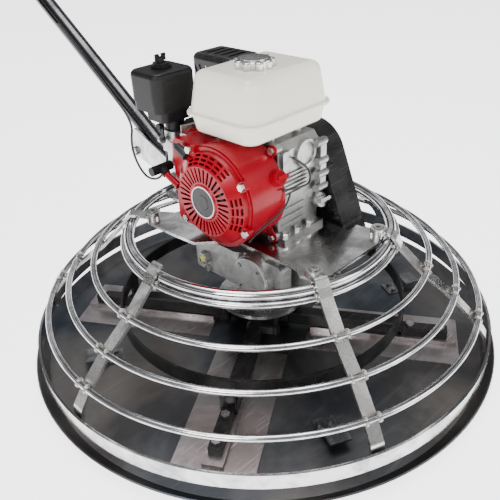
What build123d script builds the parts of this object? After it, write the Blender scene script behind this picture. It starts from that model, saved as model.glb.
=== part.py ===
"""Walk-behind power trowel: four-bladed rotor on a float pan, engine, worm gearbox and ring guard.

Frame, in millimetres: the origin is on the floor at the rotor axis, +Z is up, the handle goes
to +Y, the engine's recoil starter faces -X and its belt drive is on the +X side.
"""
import os
from math import atan2, cos, degrees, pi, radians, sin

from build123d import *

os.makedirs("parts", exist_ok=True)

# ---------------------------------------------------------------- driving dimensions
PAN_RADIUS = 497.0
PAN_FLOOR_RADIUS = 474.0
PAN_THICKNESS = 3.0
PAN_LIP_HEIGHT = 21.0

BLADE_AZIMUTHS = (-148.5, -58.5, 31.5, 121.5)
BLADE_INNER = 106.0
BLADE_OUTER = 427.0
BLADE_WIDTH = 152.0
BLADE_THICKNESS = 2.5
BLADE_BOTTOM = PAN_THICKNESS + 0.3
BAR_HEIGHT = 10.0
ARM_SIZE = 30.0
ARM_BOTTOM = BLADE_BOTTOM + BLADE_THICKNESS + BAR_HEIGHT
ARM_AXIS = ARM_BOTTOM + ARM_SIZE / 2
FIT = 0.06

SHAFT_RADIUS = 15.0
HUB_TOP = 60.0
PLATE_LOW = 80.0
COLLAR_TOP = 118.0
STABILISER_RADIUS = 305.0
STABILISER_HEIGHT = 92.0

DECK_TOP = 275.0
DECK_THICKNESS = 6.0
DECK_BOTTOM = DECK_TOP - DECK_THICKNESS

CRANK_Y = -29.0
CRANK_Z = DECK_TOP + 106.0
BELT_X = 120.0

WORM_MODULE = 5.0
WHEEL_TEETH = 27
WORM_PITCH_RADIUS = 25.0
WHEEL_PITCH_RADIUS = WORM_MODULE * WHEEL_TEETH / 2
WORM_Y = -(WHEEL_PITCH_RADIUS + WORM_PITCH_RADIUS)
WORM_Z = 224.0
CLUTCH_PULLEY_RADIUS = 45.0
GEARBOX_PULLEY_RADIUS = 60.0

TUBE_RINGS = ((267.0, 264.0, 10.0), (279.0, 251.5, 6.5))
ROD_RINGS = ((345.0, 215.0, 6.0), (402.0, 172.0, 6.0), (451.0, 124.0, 6.0))
BAND_RADIUS = 482.0
BAND_THICKNESS = 5.0
BAND_LOW = 45.0
BAND_HIGH = 76.0
SPOKE_AZIMUTHS = (180.0, 0.0)
LUG_POINTS = ((-97.0, -225.0), (97.0, -225.0), (-143.0, 168.0), (143.0, 168.0))
STRAP_WIDTH = 25.0
STRAP_THICKNESS = 6.0

HANDLE_PIVOT_Y = 240.0
HANDLE_PIVOT_Z = 305.0
HANDLE_SLOPE = 34.8
HANDLE_LENGTH = 1130.0
HANDLE_TUBE_RADIUS = 19.0


# ---------------------------------------------------------------- planes the parts are drawn on
def across(x, y=CRANK_Y, z=CRANK_Z):
    """Plane square to the crankshaft: local x is +Y, local y is +Z, extrusion goes to +X."""
    return Plane(origin=(x, y, z), x_dir=(0, 1, 0), z_dir=(1, 0, 0))


def facing_front(x, y, z):
    """Plane facing the front of the machine: local x is +X, local y is +Z, extrusion goes to -Y."""
    return Plane(origin=(x, y, z), x_dir=(1, 0, 0), z_dir=(0, -1, 0))


def upright(azimuth):
    """Upright plane through the rotor axis: local x points outwards, local y is up."""
    angle = radians(azimuth)
    return Plane(origin=(0, 0, 0), x_dir=(cos(angle), sin(angle), 0), z_dir=(sin(angle), -cos(angle), 0))


def radial(azimuth, radius, height):
    """Plane square to a rotor arm: local x is up, extrusion goes outwards along the arm."""
    angle = radians(azimuth)
    outwards = (cos(angle), sin(angle), 0)
    return Plane(origin=(radius * outwards[0], radius * outwards[1], height), x_dir=(0, 0, 1), z_dir=outwards)


def lying(azimuth, height=0.0):
    """Level plane whose local x points outwards along an arm."""
    angle = radians(azimuth)
    return Plane(origin=(0, 0, height), x_dir=(cos(angle), sin(angle), 0), z_dir=(0, 0, 1))


def save(piece, name):
    """Label a finished piece and write its STEP file."""
    piece.part.label = name
    export_step(piece.part, f"parts/{name}.step")


# ---------------------------------------------------------------- float pan
with BuildPart() as pan:
    with BuildSketch(Plane.XZ):
        with BuildLine():
            Polyline(
                (0, 0),
                (PAN_FLOOR_RADIUS, 0),
                (PAN_RADIUS, PAN_LIP_HEIGHT - 1),
                (PAN_RADIUS - 2.5, PAN_LIP_HEIGHT + 1),
                (PAN_FLOOR_RADIUS - 1.5, PAN_THICKNESS),
                (0, PAN_THICKNESS),
                close=True,
            )
        make_face()
    revolve(axis=Axis.Z)
save(pan, "pan")

CLIP_AZIMUTHS = [BLADE_AZIMUTHS[0] + 32 + 90 * i for i in range(4)]
with BuildPart() as pan_clips:
    for azimuth in CLIP_AZIMUTHS:
        with BuildSketch(upright(azimuth)):
            with BuildLine() as strip:
                Polyline((318, PAN_THICKNESS + 2), (352, PAN_THICKNESS + 2), (362, 24), (398, 24))
            trace(strip.line, line_width=4)
        extrude(amount=21, both=True)
        with BuildSketch(lying(azimuth, PAN_THICKNESS + 3.5)):
            with Locations((334, 11), (334, -11)):
                RegularPolygon(radius=6.5, side_count=6)
        extrude(amount=7)
save(pan_clips, "pan_clips")

# ---------------------------------------------------------------- blades and the arms they bolt to
BLADE_BOLTS = (325.0, 388.0)
FINGER_ALONG = 72.0
FINGER_OFFSET = 45.0
FINGER_BALL = 6.0
for number, azimuth in enumerate(BLADE_AZIMUTHS, start=1):
    with BuildPart() as blade:
        with BuildSketch(lying(azimuth, BLADE_BOTTOM)):
            with Locations(((BLADE_INNER + BLADE_OUTER) / 2, 0)):
                Rectangle(BLADE_OUTER - BLADE_INNER, BLADE_WIDTH)
        extrude(amount=BLADE_THICKNESS)
        fillet(blade.edges().filter_by(Axis.Z), radius=4)
        with BuildSketch(lying(azimuth, BLADE_BOTTOM + BLADE_THICKNESS)):
            with Locations(((BLADE_INNER + 6 + BLADE_OUTER - 6) / 2, 0)):
                Rectangle(BLADE_OUTER - BLADE_INNER - 12, 38)
        extrude(amount=BAR_HEIGHT - 0.02)
        with BuildSketch(lying(azimuth, ARM_BOTTOM - 1)):
            with Locations(*[(r, 0) for r in BLADE_BOLTS]):
                Circle(5)
        extrude(amount=21)
        with BuildSketch(lying(azimuth, ARM_BOTTOM + 20)):
            with Locations(*[(r, 0) for r in BLADE_BOLTS]):
                RegularPolygon(radius=9, side_count=6)
        extrude(amount=6)
    save(blade, f"blade_{number}")

    with BuildPart() as trowel_arm:
        with BuildSketch(radial(azimuth, 28, ARM_AXIS)):
            Circle(11)
        extrude(amount=34.5)
        with BuildSketch(radial(azimuth, 62.5, ARM_AXIS)):
            Rectangle(ARM_SIZE, ARM_SIZE)
        extrude(amount=301.5 - 62.5)
        arm_axis = Axis(origin=(0, 0, 0), direction=radial(azimuth, 1, 0).z_dir)
        chamfer(trowel_arm.edges().filter_by(arm_axis), 2)
        with BuildSketch(radial(azimuth, 301.5, ARM_AXIS)):
            Circle(10)
        extrude(amount=7)
        with BuildSketch(radial(azimuth, 308.5, ARM_BOTTOM + 10)):
            Rectangle(20, 24)
        extrude(amount=402 - 308.5)
        with BuildSketch(lying(azimuth, ARM_BOTTOM - 1)):
            with Locations(*[(r, 0) for r in BLADE_BOLTS]):
                Circle(5)
        extrude(amount=24, mode=Mode.SUBTRACT)
        with BuildSketch(lying(azimuth, 34)):
            with BuildLine() as finger:
                Polyline((FINGER_ALONG, 10), (FINGER_ALONG, FINGER_OFFSET))
            trace(finger.line, line_width=18)
        extrude(amount=18)
        with BuildSketch(lying(azimuth, 34)):
            with Locations((FINGER_ALONG, FINGER_OFFSET)):
                Circle(10)
        extrude(amount=20)
        with BuildSketch(lying(azimuth, 54)):
            with Locations((FINGER_ALONG, FINGER_OFFSET)):
                Circle(FINGER_BALL)
        extrude(amount=PLATE_LOW - 0.5 - FINGER_BALL - 54)
        tip_plane = lying(azimuth, PLATE_LOW - 0.5 - FINGER_BALL)
        with Locations(tip_plane.from_local_coords((FINGER_ALONG, FINGER_OFFSET, 0))):
            Sphere(FINGER_BALL)
    save(trowel_arm, f"trowel_arm_{number}")

# ---------------------------------------------------------------- rotor: hub, ring and shaft
with BuildPart() as spider_hub:
    with BuildSketch(Plane.XY.offset(8)):
        Circle(40)
    extrude(amount=HUB_TOP - 8)
    for azimuth in BLADE_AZIMUTHS:
        with BuildSketch(radial(azimuth, 0, ARM_AXIS)):
            Circle(23)
        extrude(amount=62)
    for azimuth in BLADE_AZIMUTHS:
        with BuildSketch(radial(azimuth, 27, ARM_AXIS)):
            Circle(11 + FIT)
        extrude(amount=40, mode=Mode.SUBTRACT)
    with BuildSketch(Plane.XY.offset(14)):
        Circle(SHAFT_RADIUS)
    extrude(amount=60, mode=Mode.SUBTRACT)
save(spider_hub, "spider_hub")

with BuildPart() as stabiliser_ring:
    with BuildSketch(Plane.XY.offset(STABILISER_HEIGHT - 15)):
        Circle(STABILISER_RADIUS + 2.5)
        Circle(STABILISER_RADIUS - 2.5, mode=Mode.SUBTRACT)
    extrude(amount=30)
    for azimuth in BLADE_AZIMUTHS:
        with BuildSketch(radial(azimuth, STABILISER_RADIUS - 3.2, ARM_AXIS)):
            Circle(14.5)
            with Locations(((STABILISER_HEIGHT + 12 - ARM_AXIS) / 2, 0)):
                Rectangle(STABILISER_HEIGHT + 12 - ARM_AXIS, 29)
            Circle(10 + FIT, mode=Mode.SUBTRACT)
        extrude(amount=6.4)
save(stabiliser_ring, "stabiliser_ring")

with BuildPart() as output_shaft:
    with BuildSketch(Plane.XY.offset(14)):
        Circle(SHAFT_RADIUS)
    extrude(amount=262 - 14)
save(output_shaft, "output_shaft")

TOOTH_GAP = pi * WORM_MODULE / 2 + 1.0
WHEEL_FACE = 26.0
LEAD = pi * WORM_MODULE
LEAD_SLOPE = LEAD / (2 * pi * WORM_PITCH_RADIUS)
with BuildPart() as tooth_gap:
    half = TOOTH_GAP / 2
    slanted = Plane(origin=(0, -WHEEL_PITCH_RADIUS, WORM_Z), x_dir=(0, -1, 0), z_dir=(LEAD_SLOPE, 0, 1))
    with BuildSketch(slanted):
        with BuildLine():
            Polyline((-6, -half + 2.2), (8, -half - 2.9), (8, half + 2.9), (-6, half - 2.2), close=True)
        make_face()
    extrude(amount=WHEEL_FACE, both=True)
with BuildPart() as worm_wheel:
    with BuildSketch(Plane.XY.offset(WORM_Z - WHEEL_FACE / 2)):
        Circle(WHEEL_PITCH_RADIUS + 4)
    extrude(amount=WHEEL_FACE)
    with BuildSketch(Plane.XY.offset(WORM_Z - WHEEL_FACE / 2 - 6)):
        Circle(28)
    extrude(amount=WHEEL_FACE + 12)
    with BuildSketch(Plane.XY.offset(WORM_Z - WHEEL_FACE / 2 - 6)):
        Circle(SHAFT_RADIUS)
    extrude(amount=WHEEL_FACE + 12, mode=Mode.SUBTRACT)
    with PolarLocations(0, WHEEL_TEETH):
        add(tooth_gap.part, mode=Mode.SUBTRACT)
save(worm_wheel, "worm_wheel")

# ---------------------------------------------------------------- pitch control under the gearbox
with BuildPart() as pressure_plate:
    with BuildSketch(Plane.XY.offset(PLATE_LOW)):
        Circle(95)
    extrude(amount=8)
    with BuildSketch(Plane.XY.offset(PLATE_LOW + 8)):
        Circle(38)
    extrude(amount=18)
    with BuildSketch(Plane.XY.offset(PLATE_LOW + 26)):
        Circle(33)
    extrude(amount=COLLAR_TOP - PLATE_LOW - 26)
    with BuildSketch(Plane.XY.offset(PLATE_LOW)):
        Circle(SHAFT_RADIUS + FIT)
    extrude(amount=60, mode=Mode.SUBTRACT)
save(pressure_plate, "pressure_plate")

YOKE_PIVOT_Y = 70.0
YOKE_PIVOT_Z = 132.0
with BuildPart() as yoke:
    for side in (-1, 1):
        with BuildSketch(across(side * 26 - 6, 0, COLLAR_TOP + 6.5)):
            Circle(6)
        extrude(amount=12)
        with BuildSketch(across(side * 26 - 6, 0, 0)):
            with BuildLine() as prong:
                Polyline((0, COLLAR_TOP + 9), (YOKE_PIVOT_Y, YOKE_PIVOT_Z))
            trace(prong.line, line_width=13)
        extrude(amount=12)
    with BuildSketch(across(-32, YOKE_PIVOT_Y, YOKE_PIVOT_Z)):
        Circle(12)
    extrude(amount=64)
    with BuildSketch(across(-48, YOKE_PIVOT_Y, YOKE_PIVOT_Z)):
        Circle(6)
    extrude(amount=96)
    with BuildSketch(across(-8, 0, 0)):
        with BuildLine() as tail:
            Polyline((YOKE_PIVOT_Y, YOKE_PIVOT_Z), (150, 158))
        trace(tail.line, line_width=16)
    extrude(amount=16)
save(yoke, "yoke")

# ---------------------------------------------------------------- deck plate
DECK_HALF = ((-60, -246), (-88, -241), (-106, -228), (-112, -206), (-100, -188), (-100, -32), (-158, 22),
             (-163, 84), (-164, 158), (-150, 184), (-124, 184), (-86, 126), (-58, 126), (-58, 232),
             (-48, 244))
BELT_NOTCH = ((100, -174), (72, -174), (72, 22))
with BuildPart() as deck_plate:
    with BuildSketch(Plane.XY.offset(DECK_BOTTOM)):
        with BuildLine():
            Polyline(
                *DECK_HALF,
                *[(-x, y) for x, y in reversed(DECK_HALF) if y > 30 or x > -100 and y > 0],
                (158, 22),
                *BELT_NOTCH[::-1],
                *[(-x, y) for x, y in reversed(DECK_HALF) if y < -180],
                close=True,
            )
        make_face()
        with Locations(*LUG_POINTS):
            Circle(5.5, mode=Mode.SUBTRACT)
    extrude(amount=DECK_THICKNESS)
save(deck_plate, "deck_plate")

# ---------------------------------------------------------------- ring guard
with BuildPart() as guard_top_rings:
    for radius, height, tube in TUBE_RINGS:
        with BuildSketch(Plane.XZ):
            with Locations((radius, height)):
                Circle(tube)
        revolve(axis=Axis.Z)
save(guard_top_rings, "guard_top_rings")

with BuildPart() as guard_rings:
    for radius, height, tube in ROD_RINGS:
        with BuildSketch(Plane.XZ):
            with Locations((radius, height)):
                Circle(tube)
        revolve(axis=Axis.Z)
    with BuildSketch(Plane.XY.offset(BAND_LOW)):
        Circle(BAND_RADIUS)
        Circle(BAND_RADIUS - BAND_THICKNESS, mode=Mode.SUBTRACT)
    extrude(amount=BAND_HIGH - BAND_LOW)
save(guard_rings, "guard_rings")

STRAP_TAIL = (
    (268, 283.5), (279.5, 271.5), (289.5, 255), (338, 207), (397, 163), (443, 118), (468, 84), (473.6, 50),
)
STRAP_BENDS = (6, 8, 20, 60, 60, 40, 12)
with BuildPart() as guard_straps:
    for x, y in LUG_POINTS:
        lug_radius = (x * x + y * y) ** 0.5
        azimuth = degrees(atan2(y, x))
        level = DECK_TOP + STRAP_THICKNESS / 2
        with BuildSketch(upright(azimuth)):
            with BuildLine() as strap:
                FilletPolyline(
                    (lug_radius - 12, level), (lug_radius + 6, level), *STRAP_TAIL, radius=(12, *STRAP_BENDS)
                )
            trace(strap.line, line_width=STRAP_THICKNESS)
        extrude(amount=STRAP_WIDTH / 2, both=True)
        with BuildSketch(Plane.XY.offset(DECK_TOP)):
            with Locations((x, y)):
                Circle(15)
        extrude(amount=14)
        with BuildSketch(Plane.XY.offset(DECK_TOP)):
            with Locations((x, y)):
                Circle(5.5)
        extrude(amount=20, mode=Mode.SUBTRACT)
        with BuildSketch(Plane.XY.offset(DECK_TOP + 6)):
            with Locations((x, y)):
                Circle(10.5)
        extrude(amount=20, mode=Mode.SUBTRACT)
    for azimuth in SPOKE_AZIMUTHS:
        with BuildSketch(upright(azimuth)):
            with BuildLine() as strap:
                FilletPolyline((260, 283.5), *STRAP_TAIL, radius=STRAP_BENDS)
            trace(strap.line, line_width=STRAP_THICKNESS)
        extrude(amount=STRAP_WIDTH / 2, both=True)
save(guard_straps, "guard_straps")

# ---------------------------------------------------------------- worm gearbox
WORM_END = -118.0
with BuildPart() as gearbox_housing:
    with BuildSketch(Plane.XY.offset(188)):
        with Locations((-30, 9)):
            RectangleRounded(176, 138, 18)
    extrude(amount=74)
    with BuildSketch(Plane.XY.offset(168)):
        Circle(80)
    extrude(amount=94)
    with BuildSketch(Plane.XY.offset(DECK_BOTTOM - 8)):
        with Locations((-14, -20)):
            RectangleRounded(168, 250, 14)
    extrude(amount=8)
    with BuildSketch(across(WORM_END, WORM_Y, WORM_Z)):
        Circle(44)
    extrude(amount=90 - WORM_END)
    with BuildSketch(across(WORM_END + 12, WORM_Y, WORM_Z)):
        with Locations((-12, -2)):
            RectangleRounded(100, 80, 12)
    extrude(amount=30)
    for fin in range(7):
        with BuildSketch(across(-62 + 15 * fin, WORM_Y, WORM_Z)):
            with Locations((-66, 3)):
                RectangleRounded(56, 66, 5)
        extrude(amount=5)
    with BuildSketch(Plane.XY.offset(WORM_Z - 27)):
        Circle(WHEEL_PITCH_RADIUS + 7)
    extrude(amount=54, mode=Mode.SUBTRACT)
    with BuildSketch(Plane.XY.offset(150)):
        Circle(66)
    extrude(amount=60, mode=Mode.SUBTRACT)
    with BuildSketch(Plane.XY.offset(240)):
        Circle(31)
    extrude(amount=24, mode=Mode.SUBTRACT)
    with BuildSketch(across(WORM_END, WORM_Y, WORM_Z)):
        Circle(33)
    extrude(amount=196, mode=Mode.SUBTRACT)
    with BuildSketch(across(60, WORM_Y, WORM_Z)):
        Circle(14)
    extrude(amount=60, mode=Mode.SUBTRACT)
save(gearbox_housing, "gearbox_housing")

with BuildPart() as gearbox_cover:
    with BuildSketch(Plane.XY.offset(162)):
        Circle(79)
    extrude(amount=6)
    with BuildSketch(Plane.XY.offset(168)):
        Circle(65.9)
    extrude(amount=8)
    with BuildSketch(Plane.XY.offset(146)):
        Circle(36)
    extrude(amount=16)
    for side in (-1, 1):
        with BuildSketch(across(side * 42 - 4, 0, 0)):
            with BuildLine():
                Polyline((58, 162), (82, 162), (80, 122), (60, 122), close=True)
            make_face()
        extrude(amount=8)
    with BuildSketch(across(-60, YOKE_PIVOT_Y, YOKE_PIVOT_Z)):
        Circle(6 + FIT)
    extrude(amount=120, mode=Mode.SUBTRACT)
    with BuildSketch(Plane.XY.offset(140)):
        Circle(26)
    extrude(amount=60, mode=Mode.SUBTRACT)
save(gearbox_cover, "gearbox_cover")

with BuildPart() as gearbox_bearings:
    for low, height, outer in ((148, 16, 26), (244, 16, 31)):
        with BuildSketch(Plane.XY.offset(low)):
            Circle(outer)
            Circle(SHAFT_RADIUS + FIT, mode=Mode.SUBTRACT)
        extrude(amount=height)
    for start in (WORM_END + 2, 56):
        with BuildSketch(across(start, WORM_Y, WORM_Z)):
            Circle(33)
            Circle(12.5 + FIT, mode=Mode.SUBTRACT)
        extrude(amount=17)
save(gearbox_bearings, "gearbox_bearings")

with BuildPart() as bearing_cap:
    with BuildSketch(across(WORM_END - 8, WORM_Y, WORM_Z)):
        Circle(43)
    extrude(amount=8)
    fillet(bearing_cap.faces().sort_by(Axis.X)[0].edges(), radius=3)
    with BuildSketch(across(WORM_END - 9, WORM_Y, WORM_Z)):
        with PolarLocations(33, 4, start_angle=45):
            SlotOverall(11, 5)
    extrude(amount=5, mode=Mode.SUBTRACT)
save(bearing_cap, "bearing_cap")

SIGHT_Y = 37.0
SIGHT_Z = 219.0
with BuildPart() as sight_glass:
    with BuildSketch(across(WORM_END - 10, SIGHT_Y, SIGHT_Z)):
        Circle(7)
    extrude(amount=8)
save(sight_glass, "sight_glass")

# ---------------------------------------------------------------- worm shaft and belt drive
THREAD_START = -LEAD * 2.75
with BuildPart() as worm_shaft:
    with BuildSketch(across(-112, WORM_Y, WORM_Z)):
        Circle(12.5)
    extrude(amount=246)
    with BuildSketch(across(-46, WORM_Y, WORM_Z)):
        Circle(19)
    extrude(amount=92)
    with BuildLine() as thread_line:
        thread_centre = (THREAD_START, WORM_Y, WORM_Z)
        Helix(pitch=LEAD, height=LEAD * 5, radius=18.8, center=thread_centre, direction=(1, 0, 0))
    thread_start = thread_line.line @ 0
    outwards = (thread_start - Vector(THREAD_START, WORM_Y, WORM_Z)).normalized()
    with BuildSketch(Plane(origin=thread_start, x_dir=outwards, z_dir=thread_line.line % 0)):
        with BuildLine():
            Polyline((0, -4.3), (10.2, -1.5), (10.2, 1.5), (0, 4.3), close=True)
        make_face()
    sweep(path=thread_line.line, is_frenet=True)
save(worm_shaft, "worm_shaft")


def groove_wheel(centre, outer, bore, width):
    """Flat-sided wheel with one V-belt groove, centred on the belt line, as a revolved outline."""
    half = width / 2
    outline = ((-half, bore), (-half, outer), (-7, outer), (-4.2, outer - 10), (4.2, outer - 10), (7, outer),
               (half, outer), (half, bore))
    with BuildPart() as wheel:
        with BuildSketch(Plane(origin=centre, x_dir=(1, 0, 0), z_dir=(0, -1, 0))):
            with BuildLine():
                Polyline(*outline, close=True)
            make_face()
        revolve(axis=Axis(origin=centre, direction=(1, 0, 0)))
    return wheel.part


driven_wheel = groove_wheel((BELT_X, WORM_Y, WORM_Z), GEARBOX_PULLEY_RADIUS, 12.5, 22)
with BuildPart() as gearbox_pulley:
    add(driven_wheel)
save(gearbox_pulley, "gearbox_pulley")

driving_wheel = groove_wheel((BELT_X, CRANK_Y, CRANK_Z), CLUTCH_PULLEY_RADIUS, 9.525 + FIT, 22)
with BuildPart() as clutch_drum:
    add(driving_wheel)
    with BuildSketch(across(BELT_X - 16)):
        Circle(56)
        Circle(9.525 + FIT, mode=Mode.SUBTRACT)
    extrude(amount=5)
    with BuildSketch(across(BELT_X - 36)):
        Circle(56)
        Circle(52, mode=Mode.SUBTRACT)
    extrude(amount=20)
save(clutch_drum, "clutch_drum")

with BuildPart() as drive_belt:
    for thickness, mode in ((0.0, Mode.ADD), (8.0, Mode.SUBTRACT)):
        with BuildSketch(across(BELT_X - 4.5, 0, 0)):
            with Locations((CRANK_Y, CRANK_Z)):
                Circle(CLUTCH_PULLEY_RADIUS + 0.6 - thickness)
            with Locations((WORM_Y, WORM_Z)):
                Circle(GEARBOX_PULLEY_RADIUS + 0.6 - thickness)
            make_hull()
        extrude(amount=9, mode=mode)
save(drive_belt, "drive_belt")

GUARD_INSIDE = 72.0
with BuildPart() as belt_guard:
    for start, grow, length, mode in ((81, 2.5, 67, Mode.ADD), (83, 0, 62.5, Mode.SUBTRACT)):
        with BuildSketch(across(start, 0, 0)):
            with Locations((CRANK_Y, CRANK_Z)):
                Circle(GUARD_INSIDE + grow)
            with Locations((WORM_Y, WORM_Z)):
                Circle(GUARD_INSIDE + grow)
            make_hull()
        extrude(amount=length, mode=mode)
    with BuildSketch(across(74, 0, 0)):
        with Locations((CRANK_Y, CRANK_Z)):
            Circle(26)
        with Locations((WORM_Y, WORM_Z)):
            Circle(46)
    extrude(amount=10, mode=Mode.SUBTRACT)
save(belt_guard, "belt_guard")

# ---------------------------------------------------------------- engine: case, cylinder and head
BARREL_TILT = 25.0
BARREL_X = -5.0
CASE_LEFT = -52.0
CASE_RIGHT = 62.0
CHAMBER_RADIUS = 56.0
HEAD_START = 120.0
HEAD_END = 165.0


def barrel_plane(distance, x=BARREL_X):
    """Plane square to the tilted cylinder, a given distance out from the crankshaft axis."""
    run = cos(radians(BARREL_TILT))
    rise = sin(radians(BARREL_TILT))
    return Plane(
        origin=(x, CRANK_Y + distance * run, CRANK_Z + distance * rise), x_dir=(1, 0, 0), z_dir=(0, run, rise)
    )


OIL_TILT = radians(20)
OIL_PLANE = Plane(origin=(60, -94, 320), x_dir=(1, 0, 0), z_dir=(0, -cos(OIL_TILT), sin(OIL_TILT)))
EAR_POINTS = ((-98.0, 462.0), (-94.0, 286.0))
SPLIT_BOSSES = ((-113.0, 356.0), (-114.0, 384.0), (-113.0, 410.0), (-110.0, 446.0))
with BuildPart() as crankcase:
    with BuildSketch(across(CASE_LEFT, 0, 0)):
        with BuildLine():
            Polyline(
                (-118, DECK_TOP), (-118, 285), (-101, 285), (-103, 452), (-92, 466), (46, 466), (54, 440),
                (52, 300), (75, 286), (75, DECK_TOP), close=True,
            )
        make_face()
    extrude(amount=CASE_RIGHT - CASE_LEFT)
    with BuildSketch(barrel_plane(50)):
        Circle(45)
    extrude(amount=HEAD_START - 50)
    for fin in range(5):
        with BuildSketch(barrel_plane(76 + 9.5 * fin)):
            RectangleRounded(92, 98, 12)
        extrude(amount=3)
    with BuildSketch(across(-57.8, 0, 0)):
        with Locations(*EAR_POINTS):
            Circle(9)
    extrude(amount=14)
    with BuildSketch(OIL_PLANE.offset(9)):
        Circle(14)
    extrude(amount=7)
    for rib in range(6):
        with BuildSketch(facing_front(-8, -101, 366 + 8 * rib)):
            RectangleRounded(72, 2.6, 1)
        extrude(amount=5)
    for rib in range(3):
        with BuildSketch(facing_front(-12, -100, 306 + 16 * rib)):
            RectangleRounded(64, 3, 1)
        extrude(amount=5)
    with BuildSketch(facing_front(22, -101, 434)):
        Circle(27)
        Circle(22, mode=Mode.SUBTRACT)
    extrude(amount=8)
    with BuildSketch(facing_front(22, -101, 434)):
        Circle(23)
    extrude(amount=4)
    with BuildSketch(facing_front(-34, -101, 438)):
        RectangleRounded(24, 34, 5)
    extrude(amount=10)
    with BuildSketch(across(54, -107, 400)):
        RectangleRounded(18, 100, 4)
    extrude(amount=8)
    with BuildSketch(across(44, 0, 0)):
        with Locations(*SPLIT_BOSSES):
            Circle(8)
    extrude(amount=18)
    with BuildSketch(Plane.XY.offset(461)):
        with Locations((-36, -72), (36, -72), (-36, 16), (36, 16)):
            Circle(9)
    extrude(amount=22)
    with BuildSketch(across(CASE_LEFT + 8)):
        Circle(CHAMBER_RADIUS)
    extrude(amount=120, mode=Mode.SUBTRACT)
    with BuildSketch(across(CASE_LEFT - 1)):
        Circle(12.5)
    extrude(amount=20, mode=Mode.SUBTRACT)
    with BuildSketch(barrel_plane(20)):
        Circle(34)
    extrude(amount=110, mode=Mode.SUBTRACT)
    with BuildSketch(OIL_PLANE.offset(-14)):
        Circle(10)
    extrude(amount=40, mode=Mode.SUBTRACT)
save(crankcase, "crankcase")

with BuildPart() as side_cover:
    with BuildSketch(across(CASE_RIGHT, 0, 0)):
        with BuildLine():
            FilletPolyline(
                (-97, 300), (-97, 416), (-70, 452), (12, 452), (40, 416), (46, 300), (20, 288), (-70, 288),
                close=True, radius=14,
            )
        make_face()
    extrude(amount=13)
    with BuildSketch(across(CASE_RIGHT, 0, 0)):
        with Locations((-106, 400)):
            RectangleRounded(20, 100, 4)
        with Locations(*SPLIT_BOSSES):
            Circle(8)
    extrude(amount=8)
    for angle in range(0, 360, 45):
        with BuildSketch(across(CASE_RIGHT + 12)):
            with Locations(Location((0, 0), angle)):
                with Locations((40, 0)):
                    Rectangle(26, 5)
        extrude(amount=4)
    with BuildSketch(across(CASE_RIGHT)):
        Circle(32)
    extrude(amount=81 - CASE_RIGHT)
    with BuildSketch(across(CASE_RIGHT - 1)):
        Circle(9.525 + FIT)
    extrude(amount=30, mode=Mode.SUBTRACT)
save(side_cover, "side_cover")

with BuildPart() as cylinder_head:
    with BuildSketch(barrel_plane(HEAD_START)):
        RectangleRounded(84, 84, 10)
    extrude(amount=HEAD_END - HEAD_START)
    for fin in range(5):
        with BuildSketch(barrel_plane(HEAD_START + 1 + 9.5 * fin)):
            RectangleRounded(96, 100, 12)
        extrude(amount=3)
save(cylinder_head, "cylinder_head")

with BuildPart() as rocker_cover:
    with BuildSketch(barrel_plane(HEAD_END)):
        RectangleRounded(78, 78, 14)
    extrude(amount=4)
    with BuildSketch(barrel_plane(HEAD_END + 4)):
        RectangleRounded(66, 64, 16)
    extrude(amount=22)
    outwards = (0, cos(radians(BARREL_TILT)), sin(radians(BARREL_TILT)))
    end_face = rocker_cover.faces().sort_by(Axis(origin=(0, 0, 0), direction=outwards))[-1]
    fillet(end_face.edges(), radius=6)
save(rocker_cover, "rocker_cover")

with BuildPart() as spark_plug:
    with BuildSketch(across(-65, 88, 480)):
        RegularPolygon(radius=10, side_count=6)
    extrude(amount=12)
    with BuildSketch(across(-76, 88, 480)):
        Circle(7)
    extrude(amount=12)
    with BuildSketch(across(-92, 88, 480)):
        Circle(9.5)
    extrude(amount=20)
save(spark_plug, "spark_plug")

# ---------------------------------------------------------------- engine: crankshaft, flywheel and clutch
CRANK_RADIUS = 9.525
THROW = 23.0
with BuildPart() as crankshaft:
    with BuildSketch(across(-126)):
        Circle(12)
    extrude(amount=114)
    with BuildSketch(across(2)):
        Circle(CRANK_RADIUS)
    extrude(amount=135)
    for start in (-25, 3):
        with BuildSketch(across(start)):
            Circle(21)
            with Locations((0, THROW)):
                Circle(17)
            make_hull()
        extrude(amount=12)
        with BuildSketch(across(start)):
            Circle(50)
            with Locations((0, 40)):
                Rectangle(110, 74, mode=Mode.SUBTRACT)
        extrude(amount=12)
    with BuildSketch(across(-20)):
        with Locations((0, THROW)):
            Circle(13)
    extrude(amount=30)
    with BuildSketch(across(131.4)):
        Circle(15)
    extrude(amount=3)
    with BuildSketch(across(134)):
        RegularPolygon(radius=9.5, side_count=6)
    extrude(amount=7)
save(crankshaft, "crankshaft")

with BuildPart() as flywheel:
    with BuildSketch(across(-104)):
        Circle(84)
    extrude(amount=34)
    with BuildSketch(across(-96)):
        Circle(72)
        Circle(26, mode=Mode.SUBTRACT)
    extrude(amount=30, mode=Mode.SUBTRACT)
    with BuildSketch(across(-128)):
        Circle(34)
    extrude(amount=24)
    for blade in range(18):
        with BuildSketch(across(-124)):
            with Locations(Location((0, 0), 20 * blade)):
                with Locations(Location((60, 0), 18)):
                    Rectangle(36, 3)
        extrude(amount=21)
    with BuildSketch(across(-127)):
        Circle(12)
    extrude(amount=70, mode=Mode.SUBTRACT)
    with BuildSketch(across(-138)):
        Circle(34)
        Circle(31, mode=Mode.SUBTRACT)
    extrude(amount=11)
save(flywheel, "flywheel")

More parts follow.
